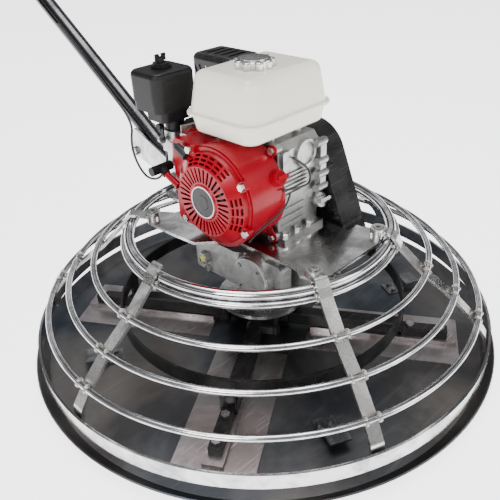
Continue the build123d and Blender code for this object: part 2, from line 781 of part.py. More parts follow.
with BuildPart() as clutch_hub:
    with BuildSketch(across(86)):
        Circle(20)
        Circle(CRANK_RADIUS, mode=Mode.SUBTRACT)
    extrude(amount=16)
    for angle in (90, 210, 330):
        with BuildSketch(across(87)):
            with Locations(Location((0, 0), angle)):
                with Locations((22, 0)):
                    Rectangle(16, 10)
        extrude(amount=14)
        with BuildSketch(across(87)):
            Circle(48)
            Circle(28, mode=Mode.SUBTRACT)
            with Locations(Location((0, 0), angle + 180)):
                with Locations((32, 0)):
                    Rectangle(100, 120, mode=Mode.SUBTRACT)
        extrude(amount=14)
save(clutch_hub, "clutch_hub")

# ---------------------------------------------------------------- engine: fan cover and recoil starter
DRUM_RADIUS = 97.0
DRUM_LEFT = -140.0
DRUM_RIGHT = -58.0
SHELL = 2.5
SWITCH_TILT = degrees(atan2(39, -89))


def drum_outline(inset):
    """Fan cover outline: the round drum with the square air duct running back to the cylinder."""
    with BuildSketch(across(0, 0, 0)) as outline:
        with Locations((CRANK_Y, CRANK_Z)):
            Circle(DRUM_RADIUS - inset)
        with Locations((CRANK_Y + 56, 385)):
            RectangleRounded(106 - 2 * inset, 170 - 2 * inset, 14)
    return outline.sketch


def from_drum(angle, distance, x):
    """Plane square to a line running straight out of the drum at an angle above +Y."""
    run = cos(radians(angle))
    rise = sin(radians(angle))
    return Plane(
        origin=(x, CRANK_Y + distance * run, CRANK_Z + distance * rise), x_dir=(1, 0, 0), z_dir=(0, run, rise)
    )


outside = Location((DRUM_LEFT, 0, 0)) * drum_outline(0)
inside = Location((DRUM_LEFT + SHELL, 0, 0)) * drum_outline(SHELL)
with BuildPart() as fan_cover:
    add(extrude(outside, amount=DRUM_RIGHT - DRUM_LEFT, dir=(1, 0, 0)))
    add(extrude(inside, amount=200, dir=(1, 0, 0)), mode=Mode.SUBTRACT)
    with BuildSketch(across(DRUM_LEFT - 1)):
        Circle(82)
    extrude(amount=10, mode=Mode.SUBTRACT)
    for y, z in EAR_POINTS:
        lean = degrees(atan2(z - CRANK_Z, y - CRANK_Y))
        reach = ((y - CRANK_Y) ** 2 + (z - CRANK_Z) ** 2) ** 0.5
        with BuildSketch(across(DRUM_RIGHT - 3)):
            with Locations(Location((0, 0), lean)):
                with Locations((reach, 0)):
                    Circle(10)
                with Locations(((reach + DRUM_RADIUS) / 2 - 2, 0)):
                    Rectangle(reach - DRUM_RADIUS + 4, 20)
        extrude(amount=3)
    with BuildSketch(from_drum(SWITCH_TILT, DRUM_RADIUS - 2, -72)):
        Circle(16)
    extrude(amount=5)
save(fan_cover, "fan_cover")

with BuildPart() as engine_switch:
    with BuildSketch(from_drum(SWITCH_TILT, DRUM_RADIUS + 3.3, -72)):
        Circle(13)
    extrude(amount=9)
    with BuildSketch(from_drum(SWITCH_TILT, DRUM_RADIUS + 11, -72)):
        RectangleRounded(24, 7, 3)
    extrude(amount=9)
save(engine_switch, "engine_switch")

RECOIL_FACE = -167.0
SLOT_COUNT = 34
ROPE_OFFSET = 38.0
with BuildPart() as recoil_housing:
    with BuildSketch(Plane(origin=(0, CRANK_Y, CRANK_Z), x_dir=(1, 0, 0), z_dir=(0, -1, 0))):
        with BuildLine():
            Polyline(
                (DRUM_LEFT - 0.2, 94), (DRUM_LEFT - 3, 94), (DRUM_LEFT - 3, 88), (-150, 86), (-162, 72),
                (RECOIL_FACE, 66), (RECOIL_FACE, 34), (RECOIL_FACE - 2, 32), (RECOIL_FACE - 2, 0),
                (-164, 0), (-164, 65), (-160, 70), (-149, 83), (DRUM_LEFT - 0.2, 85), close=True,
            )
        make_face()
    revolve(axis=Axis(origin=(0, CRANK_Y, CRANK_Z), direction=(1, 0, 0)))
    for slot in range(SLOT_COUNT):
        with BuildSketch(across(RECOIL_FACE - 5)):
            with Locations(Location((0, 0), slot * 360 / SLOT_COUNT)):
                with Locations((50.5, 0)):
                    SlotOverall(27, 4.4)
        extrude(amount=10, mode=Mode.SUBTRACT)
    for row, steps in ((70.2, 12), (76.2, 12), (82.2, 12)):
        for step in range(steps):
            if step not in (6, 7):
                with BuildSketch(across(RECOIL_FACE - 3)):
                    with Locations(Location((0, 0), 62 + 13 * step)):
                        with Locations((row, 0)):
                            RectangleRounded(3.6, 13.5, 1.4)
                extrude(amount=24, mode=Mode.SUBTRACT)
    with BuildSketch(across(-165)):
        Circle(8)
    extrude(amount=22)
    for angle in (150, 60, 205, 320):
        with BuildSketch(across(-150)):
            with Locations(Location((0, 0), angle)):
                with Locations((92, 0)):
                    RectangleRounded(20, 18, 5)
        extrude(amount=9.8)
    with BuildSketch(from_drum(BARREL_TILT, 80, -151)):
        with Locations((0, ROPE_OFFSET)):
            Circle(6.5)
    extrude(amount=36)
    with BuildSketch(from_drum(BARREL_TILT, 60, -151)):
        with Locations((0, ROPE_OFFSET)):
            Circle(3.6)
    extrude(amount=80, mode=Mode.SUBTRACT)
save(recoil_housing, "recoil_housing")

with BuildPart() as starter_reel:
    for start, length, radius in ((-162.5, 2, 50), (-160.5, 8, 42), (-152.5, 2, 50)):
        with BuildSketch(across(start)):
            Circle(radius)
            Circle(8 + FIT, mode=Mode.SUBTRACT)
        extrude(amount=length)
save(starter_reel, "starter_reel")

with BuildPart() as starter_grip:
    with BuildSketch(from_drum(BARREL_TILT, 116.4, -151)):
        with Locations((0, ROPE_OFFSET)):
            Circle(8.5)
    extrude(amount=14)
    grip_centre = from_drum(BARREL_TILT, 134, -151).from_local_coords((0, ROPE_OFFSET, 0))
    with BuildSketch(across(-175, grip_centre.Y, grip_centre.Z)):
        Circle(9)
    extrude(amount=48)
save(starter_grip, "starter_grip")

# ---------------------------------------------------------------- engine: fuel tank
TANK_CENTRE = (-18.0, -29.0)
TANK_LOW = 483.0
TANK_SEAM = 517.0
TANK_HIGH = 592.0
CAP_CENTRE = (-34.0, -36.0)
with BuildPart() as fuel_tank:
    with BuildSketch(Plane.XY.offset(TANK_SEAM)):
        with Locations(TANK_CENTRE):
            RectangleRounded(214, 166, 32)
    extrude(amount=TANK_LOW - TANK_SEAM, taper=12)
    fillet(fuel_tank.faces().sort_by(Axis.Z)[0].edges(), radius=9)
    with BuildSketch(Plane.XY.offset(TANK_SEAM + 4)):
        with Locations(TANK_CENTRE):
            RectangleRounded(216, 168, 32)
    extrude(amount=TANK_HIGH - TANK_SEAM - 4, taper=11)
    fillet(fuel_tank.faces().sort_by(Axis.Z)[-1].edges(), radius=20)
    with BuildSketch(Plane.XY.offset(TANK_SEAM)):
        with Locations(TANK_CENTRE):
            RectangleRounded(228, 180, 36)
    extrude(amount=4)
    seam_edges = fuel_tank.edges().filter_by_position(Axis.Z, TANK_SEAM, TANK_SEAM + 4)
    fillet(seam_edges.sort_by(SortBy.LENGTH)[-2:], radius=1.5)
    with BuildSketch(Plane.XY.offset(TANK_LOW + 2.5)):
        with Locations(TANK_CENTRE):
            RectangleRounded(184, 136, 26)
    extrude(amount=TANK_HIGH - TANK_LOW - 30, mode=Mode.SUBTRACT)
    with BuildSketch(Plane.XY.offset(TANK_HIGH - 4)):
        with Locations(CAP_CENTRE):
            Circle(38)
    extrude(amount=5)
    with BuildSketch(Plane.XY.offset(540)):
        with Locations(CAP_CENTRE):
            Circle(26)
    extrude(amount=80, mode=Mode.SUBTRACT)
save(fuel_tank, "fuel_tank")

with BuildPart() as fuel_cap:
    with BuildSketch(Plane.XY.offset(TANK_HIGH + 1.4)):
        with Locations(CAP_CENTRE):
            Circle(31)
            with PolarLocations(28.5, 9):
                Circle(8)
    extrude(amount=13)
    fillet(fuel_cap.faces().sort_by(Axis.Z)[-1].edges(), radius=3)
    with BuildSketch(Plane.XY.offset(TANK_HIGH + 14)):
        with Locations(CAP_CENTRE):
            Circle(25)
    extrude(amount=2.4)
    with BuildSketch(Plane.XY.offset(580)):
        with Locations(CAP_CENTRE):
            Circle(25.6)
    extrude(amount=TANK_HIGH - 578)
save(fuel_cap, "fuel_cap")

with BuildPart() as oil_cap:
    with BuildSketch(OIL_PLANE.offset(16.3)):
        Circle(15)
    extrude(amount=6)
    with BuildSketch(OIL_PLANE.offset(22)):
        RectangleRounded(30, 7, 3)
    extrude(amount=12)
    with BuildSketch(OIL_PLANE.offset(9.5)):
        Circle(9.9)
    extrude(amount=8)
save(oil_cap, "oil_cap")

# ---------------------------------------------------------------- engine: carburetor, air cleaner and muffler
CARB_X = -100.0
CARB_Y = 117.0
with BuildPart() as carburetor:
    with BuildSketch(Plane.XY.offset(425)):
        with Locations((CARB_X, CARB_Y)):
            RectangleRounded(44, 42, 8)
    extrude(amount=43)
    with BuildSketch(Plane.XY.offset(402)):
        with Locations((CARB_X, CARB_Y)):
            Circle(20)
    extrude(amount=23)
    with BuildSketch(Plane.XY.offset(396)):
        with Locations((CARB_X, CARB_Y)):
            RegularPolygon(radius=7, side_count=6)
    extrude(amount=6)
    with BuildSketch(across(CARB_X, 107, 448)):
        Circle(15)
    extrude(amount=46)
    with BuildSketch(across(-66, 107, 448)):
        RectangleRounded(34, 30, 6)
    extrude(amount=12.9)
    with BuildSketch(across(-139, 122, 452)):
        Circle(3)
    extrude(amount=18)
save(carburetor, "carburetor")

with BuildPart() as choke_lever:
    with BuildSketch(across(-131, 122, 452)):
        Circle(8)
        with Locations((-3, 17)):
            Rectangle(7, 28)
        Circle(3 + FIT, mode=Mode.SUBTRACT)
    extrude(amount=3)
    with BuildSketch(across(-139, 119, 480)):
        Circle(6)
    extrude(amount=11)
save(choke_lever, "choke_lever")

with BuildPart() as air_cleaner_base:
    with BuildSketch(Plane.XY.offset(514)):
        with Locations((-115.5, 120)):
            RectangleRounded(91, 80, 16)
    extrude(amount=16)
    with BuildSketch(Plane.XY.offset(517)):
        with Locations((-115.5, 120)):
            RectangleRounded(85, 74, 14)
    extrude(amount=20, mode=Mode.SUBTRACT)
    with BuildSketch(Plane.XY.offset(490)):
        with Locations((-108, 122)):
            RectangleRounded(66, 60, 12)
    extrude(amount=24)
    with BuildSketch(Plane.XY.offset(468.2)):
        with Locations((CARB_X, CARB_Y)):
            Circle(19)
    extrude(amount=46)
    with BuildSketch(Plane.XY.offset(468.2)):
        with Locations((CARB_X, CARB_Y)):
            Circle(15)
    extrude(amount=60, mode=Mode.SUBTRACT)
    with BuildSketch(Plane.XY.offset(514)):
        with Locations((-115, 120)):
            Circle(3.5)
    extrude(amount=90)
save(air_cleaner_base, "air_cleaner_base")

with BuildPart() as air_cleaner_cover:
    with BuildSketch(Plane.XY.offset(530.3)):
        with Locations((-115.5, 120)):
            RectangleRounded(95, 84, 18)
    extrude(amount=55)
    fillet(air_cleaner_cover.faces().sort_by(Axis.Z)[-1].edges(), radius=10)
    with BuildSketch(Plane.XY.offset(530)):
        with Locations((-115.5, 120)):
            RectangleRounded(90, 79, 15)
    extrude(amount=52.5, mode=Mode.SUBTRACT)
    for low, height, radius in ((584, 6, 19), (590, 4, 15), (594, 9, 6.5)):
        with BuildSketch(Plane.XY.offset(low)):
            with Locations((-115, 120)):
                Circle(radius)
        extrude(amount=height)
    with BuildSketch(Plane.XY.offset(597)):
        with Locations((-115, 120)):
            RectangleRounded(24, 4.4, 2)
    extrude(amount=12)
    with BuildSketch(Plane.XY.offset(560)):
        with Locations((-115, 120)):
            Circle(3.8)
    extrude(amount=80, mode=Mode.SUBTRACT)
save(air_cleaner_cover, "air_cleaner_cover")

with BuildPart() as muffler:
    with BuildSketch(Plane.XY.offset(506)):
        with Locations((50, 124)):
            RectangleRounded(72, 106, 20)
    extrude(amount=58)
    fillet(muffler.faces().sort_by(Axis.Z)[-1].edges(), radius=8)
    with BuildLine() as exhaust:
        FilletPolyline((43.4, 96, 446), (70, 96, 446), (70, 96, 507), radius=16)
    with BuildSketch(across(43.4, 96, 446)):
        Circle(12)
    sweep(path=exhaust.line)
    with BuildSketch(across(43.2, 96, 446)):
        RectangleRounded(44, 34, 6)
    extrude(amount=6)
    with BuildSketch(across(84, 150, 540)):
        Circle(12.5)
    extrude(amount=11)
    with BuildSketch(across(95, 150, 540)):
        Circle(10.5)
    extrude(amount=17)
save(muffler, "muffler")

with BuildPart() as muffler_shield:
    with BuildSketch(Plane.XY.offset(502)):
        with Locations((50.5, 124)):
            RectangleRounded(87, 120, 16)
    extrude(amount=78)
    fillet(muffler_shield.faces().sort_by(Axis.Z)[-1].edges(), radius=12)
    with BuildSketch(Plane.XY.offset(502)):
        with Locations((50.5, 124)):
            RectangleRounded(83, 116, 14)
    extrude(amount=70, mode=Mode.SUBTRACT)
    for slot in range(6):
        with BuildSketch(across(4, 84 + 16 * slot, 540)):
            SlotOverall(44, 6, rotation=64)
        extrude(amount=6, mode=Mode.SUBTRACT)
    for slot in range(4):
        with BuildSketch(facing_front(26 + 16 * slot, 68, 540)):
            SlotOverall(44, 6, rotation=64)
        extrude(amount=8, mode=Mode.SUBTRACT)
        with BuildSketch(Plane.XY.offset(560)):
            with Locations((50, 92 + 20 * slot)):
                SlotOverall(48, 8)
        extrude(amount=24, mode=Mode.SUBTRACT)
    with BuildSketch(across(84, 150, 540)):
        Circle(18)
    extrude(amount=20, mode=Mode.SUBTRACT)
save(muffler_shield, "muffler_shield")

# ---------------------------------------------------------------- engine: wire and throttle cable
with BuildPart() as switch_wire:
    for points, radius, corner in (
        (((-70, -131, 399), (-50, -132, 395), (-14, -125, 384), (22, -116, 376), (27, -114, 394),
          (8, -117, 418), (-24, -115, 442)), 2.2, 6),
        (((-54, -134, 390), (-58, -134, 376), (-74, -131, 360), (-96, -128, 350), (-128, -119, 334),
          (-146, -117, 322)), 1.8, 6),
    ):
        with BuildLine() as run:
            FilletPolyline(*points, radius=corner)
        with BuildSketch(Plane(origin=run.line @ 0, z_dir=run.line % 0)):
            Circle(radius)
        sweep(path=run.line, transition=Transition.ROUND)
save(switch_wire, "switch_wire")

CABLE_POINTS = (
    (-31, 620, 596), (-33, 460, 486), (-40, 350, 414), (-84, 301, 392), (-97, 276, 366), (-106, 244, 346),
    (-114, 208, 340), (-114, 172, 350), (-110, 154, 372), (-104, 147, 400), (-104, 144.5, 440),
)
with BuildPart() as throttle_cable:
    with BuildLine() as run:
        FilletPolyline(*CABLE_POINTS, radius=(60, 40, 20, 20, 24, 24, 24, 16, 16))
    with BuildSketch(Plane(origin=run.line @ 0, z_dir=run.line % 0)):
        Circle(2.6)
    sweep(path=run.line, transition=Transition.ROUND)
save(throttle_cable, "throttle_cable")

# ---------------------------------------------------------------- handle
SLOPE = radians(HANDLE_SLOPE)
HANDLE_DIRECTION = (0, cos(SLOPE), sin(SLOPE))
CHEEK_INSIDE = 22.0
BAR_STATION = 1090.0
STOP_Y = 372.0
STOP_Z = 335.0


def along_handle(distance, x=0.0, lift=0.0):
    """Plane square to the handle tube; local x is +X and local y points up off the tube."""
    return Plane(
        origin=(
            x,
            HANDLE_PIVOT_Y + distance * cos(SLOPE) - lift * sin(SLOPE),
            HANDLE_PIVOT_Z + distance * sin(SLOPE) + lift * cos(SLOPE),
        ),
        x_dir=(-1, 0, 0),
        z_dir=HANDLE_DIRECTION,
    )


def over_handle(distance, x=0.0, lift=0.0):
    """Plane lying on the handle: local x is +X, local y runs up the handle, extrusion lifts off it."""
    place = along_handle(distance, x, lift).origin
    return Plane(origin=place, x_dir=(1, 0, 0), z_dir=(0, -sin(SLOPE), cos(SLOPE)))


with BuildPart() as handle_bracket:
    for side in (-1, 1):
        with BuildSketch(across(side * (CHEEK_INSIDE + 2.5) - 2.5, 0, 0)):
            with BuildLine():
                FilletPolyline(
                    (170, DECK_TOP), (238, DECK_TOP), (262, 296), (372, 322), (392, 334), (390, 356),
                    (372, 393), (236, 336), (170, 304), close=True, radius=(3, 10, 10, 8, 6, 8, 10, 24, 3),
                )
            make_face()
        extrude(amount=5)
        with BuildSketch(Plane.XY.offset(DECK_TOP)):
            with Locations((side * 36, 204)):
                Rectangle(20, 66)
        extrude(amount=5)
    with BuildSketch(across(-30, HANDLE_PIVOT_Y, HANDLE_PIVOT_Z)):
        Circle(6)
    extrude(amount=60, mode=Mode.SUBTRACT)
    with BuildSketch(across(-30, STOP_Y, STOP_Z)):
        Circle(6)
    extrude(amount=60, mode=Mode.SUBTRACT)
save(handle_bracket, "handle_bracket")

with BuildPart() as handle_tube:
    with BuildSketch(along_handle(-22)):
        Circle(HANDLE_TUBE_RADIUS)
        Circle(HANDLE_TUBE_RADIUS - 3, mode=Mode.SUBTRACT)
    extrude(amount=1172)
    for start, length in ((-16, 30), (1066, 50)):
        with BuildSketch(along_handle(start)):
            Circle(HANDLE_TUBE_RADIUS - 2)
        extrude(amount=length)
    with BuildSketch(along_handle(104, 0, -29)):
        Rectangle(10, 27.2)
    extrude(amount=44)
    with BuildLine() as bar:
        FilletPolyline(
            over_handle(1270, -250).origin, over_handle(BAR_STATION, -250).origin,
            over_handle(BAR_STATION, 250).origin, over_handle(1270, 250).origin, radius=60,
        )
    with BuildSketch(along_handle(1270, -250)):
        Circle(13)
    sweep(path=bar.line)
    with BuildSketch(across(146, over_handle(BAR_STATION).origin.Y, over_handle(BAR_STATION).origin.Z)):
        Circle(18)
        Circle(12, mode=Mode.SUBTRACT)
    extrude(amount=24)
    with BuildSketch(over_handle(BAR_STATION, 158, 16)):
        Circle(8)
    extrude(amount=4)
    with BuildSketch(over_handle(BAR_STATION, 158, 16)):
        Circle(4)
    extrude(amount=12)
    with BuildSketch(across(-30, HANDLE_PIVOT_Y, HANDLE_PIVOT_Z)):
        Circle(6 + FIT)
    extrude(amount=60, mode=Mode.SUBTRACT)
    with BuildSketch(along_handle(1116)):
        Circle(8 + FIT)
    extrude(amount=80, mode=Mode.SUBTRACT)
save(handle_tube, "handle_tube")

with BuildPart() as handle_grips:
    for side in (-1, 1):
        with BuildSketch(along_handle(1156, side * 250)):
            Circle(17)
        extrude(amount=118)
        for groove in range(9):
            with BuildSketch(along_handle(1168 + 11 * groove, side * 250)):
                Circle(18)
                Circle(16, mode=Mode.SUBTRACT)
            extrude(amount=5)
        with BuildSketch(along_handle(1156, side * 250)):
            Circle(13)
        extrude(amount=114, mode=Mode.SUBTRACT)
save(handle_grips, "handle_grips")

WHEEL_STATION = 1158.0
with BuildPart() as pitch_wheel:
    with BuildSketch(along_handle(1120)):
        Circle(8)
    extrude(amount=40)
    with BuildSketch(along_handle(1150.5)):
        Circle(22)
    extrude(amount=22)
    with BuildSketch(along_handle(WHEEL_STATION)):
        Circle(75)
        Circle(60, mode=Mode.SUBTRACT)
    extrude(amount=14)
    fillet(pitch_wheel.edges().filter_by(GeomType.CIRCLE).filter_by(lambda edge: edge.radius > 59), radius=5)
    with BuildSketch(along_handle(WHEEL_STATION + 3)):
        for angle in (0, 60, 120):
            with Locations(Location((0, 0), angle)):
                Rectangle(126, 14)
    extrude(amount=8)
save(pitch_wheel, "pitch_wheel")

with BuildPart() as throttle_lever:
    with BuildSketch(over_handle(BAR_STATION, 158, 20.3)):
        Circle(10)
        with Locations((0, 34)):
            RectangleRounded(11, 60, 5)
        Circle(4 + FIT, mode=Mode.SUBTRACT)
    extrude(amount=4)
    with BuildSketch(over_handle(BAR_STATION, 158, 24)):
        with Locations((0, 56)):
            Circle(9)
    extrude(amount=12)
save(throttle_lever, "throttle_lever")

# ---------------------------------------------------------------- bolts, nuts and plugs of the fixed frame
with BuildPart() as fasteners:
    for x, y in LUG_POINTS:
        with BuildSketch(Plane.XY.offset(DECK_BOTTOM - 9)):
            with Locations((x, y)):
                RegularPolygon(radius=8.5, side_count=6)
        extrude(amount=9)
        with BuildSketch(Plane.XY.offset(DECK_BOTTOM)):
            with Locations((x, y)):
                Circle(5.4)
        extrude(amount=DECK_THICKNESS + 6)
        with BuildSketch(Plane.XY.offset(DECK_TOP + 6)):
            with Locations((x, y)):
                Circle(9.5)
        extrude(amount=9)
        with BuildSketch(Plane.XY.offset(DECK_TOP + 9)):
            with Locations((x, y)):
                RegularPolygon(radius=5, side_count=6)
        extrude(amount=8, mode=Mode.SUBTRACT)
    with BuildSketch(across(WORM_END - 11, SIGHT_Y, SIGHT_Z)):
        RegularPolygon(radius=13.5, side_count=6)
        Circle(7, mode=Mode.SUBTRACT)
    extrude(amount=11)
    with BuildSketch(across(WORM_END - 2, SIGHT_Y, SIGHT_Z)):
        Circle(7)
    extrude(amount=2)
    with BuildSketch(across(WORM_END - 6, 30, 196)):
        RegularPolygon(radius=8, side_count=6)
    extrude(amount=6)
    with BuildSketch(Plane.XY.offset(285)):
        with Locations((-38, -109), (-4, -109), (30, -109)):
            RegularPolygon(radius=8, side_count=6)
    extrude(amount=8)
    for y, z in EAR_POINTS:
        with BuildSketch(across(DRUM_RIGHT - 9, y, z)):
            RegularPolygon(radius=7, side_count=6)
        extrude(amount=6)
    for angle in (150, 60, 205, 320):
        lean = radians(angle)
        with BuildSketch(across(-156, CRANK_Y + 95.5 * cos(lean), CRANK_Z + 95.5 * sin(lean))):
            RegularPolygon(radius=7, side_count=6)
        extrude(amount=6)
    with BuildSketch(across(CASE_RIGHT + 13, 0, 0)):
        with Locations((-86, 312), (-86, 404), (-58, 441), (4, 441), (30, 404), (34, 312)):
            RegularPolygon(radius=6.5, side_count=6)
    extrude(amount=5)
    with BuildSketch(across(CASE_RIGHT + 8, 0, 0)):
        with Locations(*SPLIT_BOSSES):
            RegularPolygon(radius=6, side_count=6)
    extrude(amount=6)
    for y, z in ((HANDLE_PIVOT_Y, HANDLE_PIVOT_Z), (STOP_Y, STOP_Z)):
        with BuildSketch(across(-CHEEK_INSIDE - 5, y, z)):
            Circle(6)
        extrude(amount=2 * CHEEK_INSIDE + 10)
        for end in (-CHEEK_INSIDE - 12, CHEEK_INSIDE + 5):
            with BuildSketch(across(end, y, z)):
                RegularPolygon(radius=10, side_count=6)
            extrude(amount=7)
    with BuildSketch(across(-CHEEK_INSIDE, STOP_Y, STOP_Z)):
        Circle(8)
    extrude(amount=2 * CHEEK_INSIDE)
    with BuildSketch(Plane.XY.offset(DECK_TOP + 5)):
        with Locations((-37, 184), (37, 184), (-37, 222), (37, 222)):
            RegularPolygon(radius=7, side_count=6)
    extrude(amount=6)
save(fasteners, "fasteners")
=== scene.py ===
from math import atan2, cos, pi, radians, sin

import bpy
from mathutils import Matrix, Vector


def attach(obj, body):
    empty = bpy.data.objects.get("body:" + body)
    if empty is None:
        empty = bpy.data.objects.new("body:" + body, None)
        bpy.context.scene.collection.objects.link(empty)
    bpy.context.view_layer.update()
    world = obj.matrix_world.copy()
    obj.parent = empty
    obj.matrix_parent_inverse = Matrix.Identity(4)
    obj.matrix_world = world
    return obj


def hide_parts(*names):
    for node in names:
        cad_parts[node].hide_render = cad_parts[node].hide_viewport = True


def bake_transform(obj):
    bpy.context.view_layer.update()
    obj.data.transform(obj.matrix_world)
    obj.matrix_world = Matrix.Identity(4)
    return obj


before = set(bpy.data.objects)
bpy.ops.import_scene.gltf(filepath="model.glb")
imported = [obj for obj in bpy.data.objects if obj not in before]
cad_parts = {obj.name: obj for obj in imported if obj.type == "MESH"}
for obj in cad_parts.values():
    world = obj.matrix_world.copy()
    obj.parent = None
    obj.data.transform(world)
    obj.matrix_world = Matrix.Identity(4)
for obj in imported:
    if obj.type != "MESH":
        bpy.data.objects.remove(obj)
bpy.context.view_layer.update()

bpy.ops.object.select_all(action="DESELECT")

# ---------------------------------------------------------------- camera, floor and studio light
# The machine stands on a pale seamless floor, seen from its front left corner and a little above.
# Three soft boxes light it, in a dark room with a bright ring high round it and a pale zenith, whose
# edges draw the streaks on the plated tubes.
camera_place = Vector((-0.780, -0.770, 0.855))
camera_turn = radians(-45.4)
camera_pitch = radians(31.06)
camera_yaw = radians(-1.15)
camera_roll = radians(-2.68)
turn = Matrix.Rotation(camera_turn, 3, "Z")
looking = turn @ Vector((
    sin(camera_yaw) * cos(camera_pitch), cos(camera_yaw) * cos(camera_pitch), -sin(camera_pitch)))
level = turn @ Vector((cos(camera_yaw), -sin(camera_yaw), 0.0))
overhead = level.cross(looking)
image_right = cos(camera_roll) * level + sin(camera_roll) * overhead
image_up = -sin(camera_roll) * level + cos(camera_roll) * overhead
camera_data = bpy.data.cameras.new("camera")
camera_data.lens = 43.2
camera_data.sensor_width = 36.0
camera = bpy.data.objects.new("camera", camera_data)
bpy.context.scene.collection.objects.link(camera)
camera_axes = Matrix((image_right, image_up, -looking)).transposed().to_4x4()
camera.matrix_world = Matrix.Translation(camera_place) @ camera_axes
bpy.context.scene.camera = camera

bpy.ops.mesh.primitive_plane_add(size=24.0, location=(0.0, 0.0, -0.0005))
floor = bpy.context.object
floor.name = "studio_floor"
floor_finish = bpy.data.materials.new("floor_paper")
floor_finish.use_nodes = True
floor_finish.node_tree.nodes["Principled BSDF"].inputs["Base Color"].default_value = (0.93, 0.93, 0.93, 1.0)
floor_finish.node_tree.nodes["Principled BSDF"].inputs["Roughness"].default_value = 0.9
floor_finish.node_tree.nodes["Principled BSDF"].inputs["Emission Color"].default_value = (1.0, 1.0, 1.0, 1.0)
floor_finish.node_tree.nodes["Principled BSDF"].inputs["Emission Strength"].default_value = 2.6
floor.data.materials.append(floor_finish)

room = bpy.data.worlds.new("room")
bpy.context.scene.world = room
room.use_nodes = True
room_nodes = room.node_tree.nodes
room_links = room.node_tree.links
direction = room_nodes.new("ShaderNodeTexCoord")
height = room_nodes.new("ShaderNodeSeparateXYZ")
shade = room_nodes.new("ShaderNodeValToRGB")
shade.color_ramp.elements[0].position = 0.0
shade.color_ramp.elements[0].color = (0.16, 0.16, 0.165, 1.0)
shade.color_ramp.elements[1].position = 1.0
shade.color_ramp.elements[1].color = (1.2, 1.2, 1.2, 1.0)
room_bands = ((0.06, 0.03), (0.30, 0.04), (0.40, 0.85), (0.52, 0.95), (0.60, 0.10), (0.80, 0.14))
for position, brightness in room_bands:
    stop = shade.color_ramp.elements.new(position)
    stop.color = (brightness, brightness, brightness * 1.02, 1.0)
room_links.new(direction.outputs["Generated"], height.inputs["Vector"])
room_links.new(height.outputs["Z"], shade.inputs["Fac"])
room_links.new(shade.outputs["Color"], room_nodes["Background"].inputs["Color"])
room_nodes["Background"].inputs["Strength"].default_value = 1.0


def soft_box(name, place, aim, width, height, power):
    """A rectangular studio light at a place, turned to face a point."""
    lamp = bpy.data.lights.new(name, "AREA")
    lamp.shape = "RECTANGLE"
    lamp.size = width
    lamp.size_y = height
    lamp.energy = power
    holder = bpy.data.objects.new(name, lamp)
    bpy.context.scene.collection.objects.link(holder)
    holder.location = place
    holder.rotation_euler = (Vector(aim) - Vector(place)).to_track_quat("-Z", "Y").to_euler()


soft_box("key_light", (-2.3, -0.9, 2.4), (0.0, 0.0, 0.3), 1.3, 1.3, 60.0)
soft_box("fill_light", (1.1, -2.6, 1.7), (0.0, 0.0, 0.3), 1.2, 1.8, 30.0)
soft_box("top_light", (0.2, 0.4, 3.0), (0.0, 0.0, 0.0), 1.8, 1.8, 60.0)

# ---------------------------------------------------------------- float pan and its clips
# The pan is a shallow round tray of bare rolled steel, scuffed in circles by use and blued in
# patches by heat. Four bent strips, each screwed down with two bolts, hold it to the blades.


def link_value(tree, start, finish):
    """Joins one node's output socket to another node's input socket."""
    tree.links.new(start, finish)


marks = bpy.data.node_groups.new("surface_marks", "ShaderNodeTree")
marks.interface.new_socket("Vector", in_out="INPUT", socket_type="NodeSocketVector")
for socket_name, socket_value in (("Blotch Scale", 6.0), ("Grain Scale", 300.0), ("Scratch Scale", 20.0)):
    socket = marks.interface.new_socket(socket_name, in_out="INPUT", socket_type="NodeSocketFloat")
    socket.default_value = socket_value
for socket_name in ("Blotch", "Grain", "Scratch"):
    marks.interface.new_socket(socket_name, in_out="OUTPUT", socket_type="NodeSocketFloat")
marks_in = marks.nodes.new("NodeGroupInput")
marks_out = marks.nodes.new("NodeGroupOutput")
blotch_noise = marks.nodes.new("ShaderNodeTexNoise")
blotch_noise.inputs["Detail"].default_value = 5.0
blotch_noise.inputs["Roughness"].default_value = 0.62
blotch_noise.inputs["Distortion"].default_value = 0.5
grain_noise = marks.nodes.new("ShaderNodeTexNoise")
grain_noise.inputs["Detail"].default_value = 3.0
stretch = marks.nodes.new("ShaderNodeMapping")
stretch.inputs["Rotation"].default_value = (0.35, 0.2, 0.6)
stretch.inputs["Scale"].default_value = (1.0, 14.0, 14.0)
scratch_noise = marks.nodes.new("ShaderNodeTexNoise")
scratch_noise.inputs["Detail"].default_value = 2.0
scratch_cut = marks.nodes.new("ShaderNodeMapRange")
scratch_cut.inputs["From Min"].default_value = 0.60
scratch_cut.inputs["From Max"].default_value = 0.74
for texture, scale_name in (
        (blotch_noise, "Blotch Scale"), (grain_noise, "Grain Scale"), (scratch_noise, "Scratch Scale")):
    link_value(marks, marks_in.outputs[scale_name], texture.inputs["Scale"])
link_value(marks, marks_in.outputs["Vector"], blotch_noise.inputs["Vector"])
link_value(marks, marks_in.outputs["Vector"], grain_noise.inputs["Vector"])
link_value(marks, marks_in.outputs["Vector"], stretch.inputs["Vector"])
link_value(marks, stretch.outputs["Vector"], scratch_noise.inputs["Vector"])
link_value(marks, scratch_noise.outputs["Fac"], scratch_cut.inputs["Value"])
link_value(marks, blotch_noise.outputs["Fac"], marks_out.inputs["Blotch"])
link_value(marks, grain_noise.outputs["Fac"], marks_out.inputs["Grain"])
link_value(marks, scratch_cut.outputs["Result"], marks_out.inputs["Scratch"])


